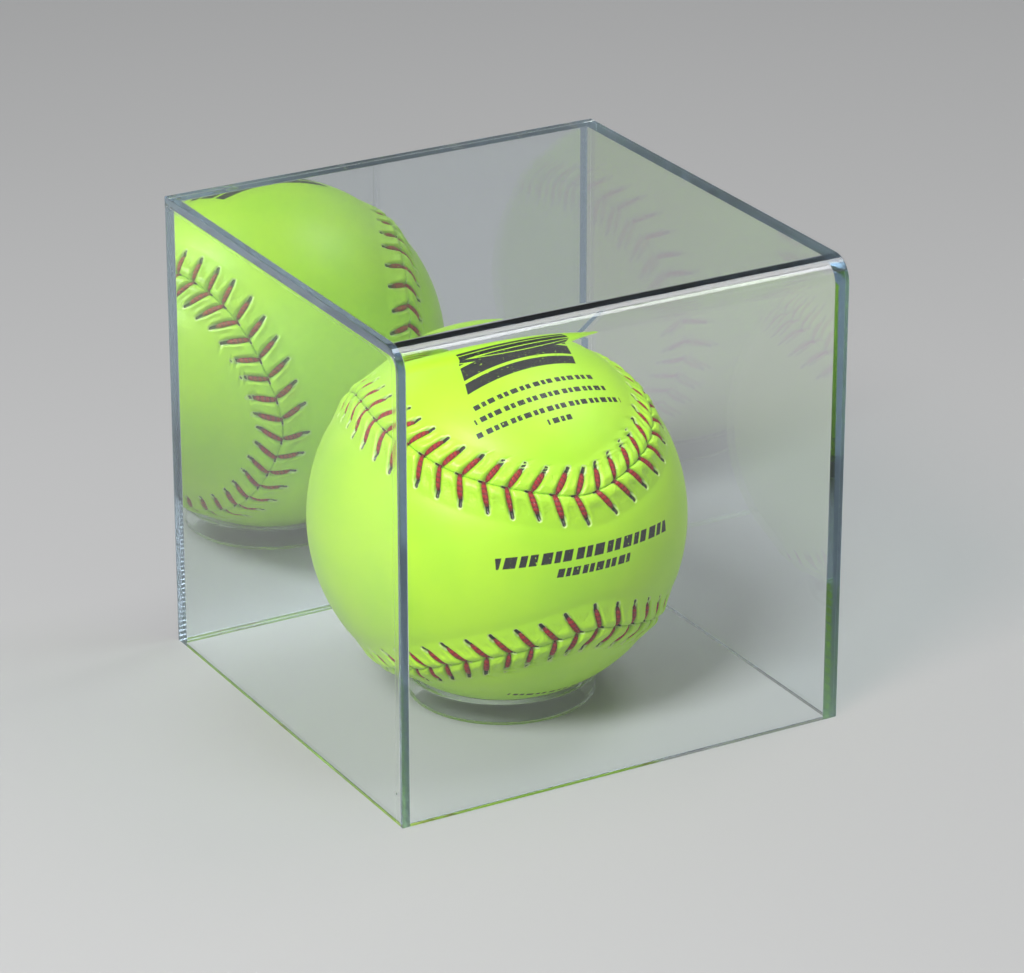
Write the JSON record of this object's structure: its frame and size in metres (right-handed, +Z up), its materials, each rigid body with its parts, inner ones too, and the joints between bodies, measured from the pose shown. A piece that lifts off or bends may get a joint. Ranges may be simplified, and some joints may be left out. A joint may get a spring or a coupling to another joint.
{
  "type": "softball display cube",
  "caption": "Clear acrylic display cube with a mirrored back, lifted off over a ring riser that holds a stitched softball.",
  "frame": {"origin": "middle of the case's footprint, on the surface that it stands on", "axes": "+Z up; -Y is the front of the case, +Y the mirrored back; +X to the right seen from the front"},
  "size_m": [0.1284, 0.1274, 0.127],
  "materials": {
    "clear_acrylic": "clear polished acrylic sheet and tube",
    "mirror_coat": "silvered film under a grey protective coat",
    "ball_core": "moulded, matt",
    "ball_cover": "optic yellow, smooth, low sheen",
    "seam_thread": "waxed red lacing thread"
  },
  "bodies": {
    "riser": {"riser_ring": "clear_acrylic"},
    "cover": {"front_and_top_sheet": "clear_acrylic", "left_side_panel": "clear_acrylic", "right_side_panel": "clear_acrylic", "mirror_sheet": "clear_acrylic", "mirror_backing": "mirror_coat"},
    "ball": {"ball_core": "ball_core", "ball_panel_top_and_bottom": "ball_cover", "ball_panel_sides": "ball_cover", "seam_thread": "seam_thread"}
  },
  "joints": [
    {"name": "cover_lift", "type": "slide", "parent": "riser", "child": "cover", "axis": [0, 0, 1], "range_m": [0, 0.11]},
    {"name": "ball_lift", "type": "slide", "parent": "riser", "child": "ball", "axis": [0, 0, 1], "range_m": [0, 0.024]}
  ]
}
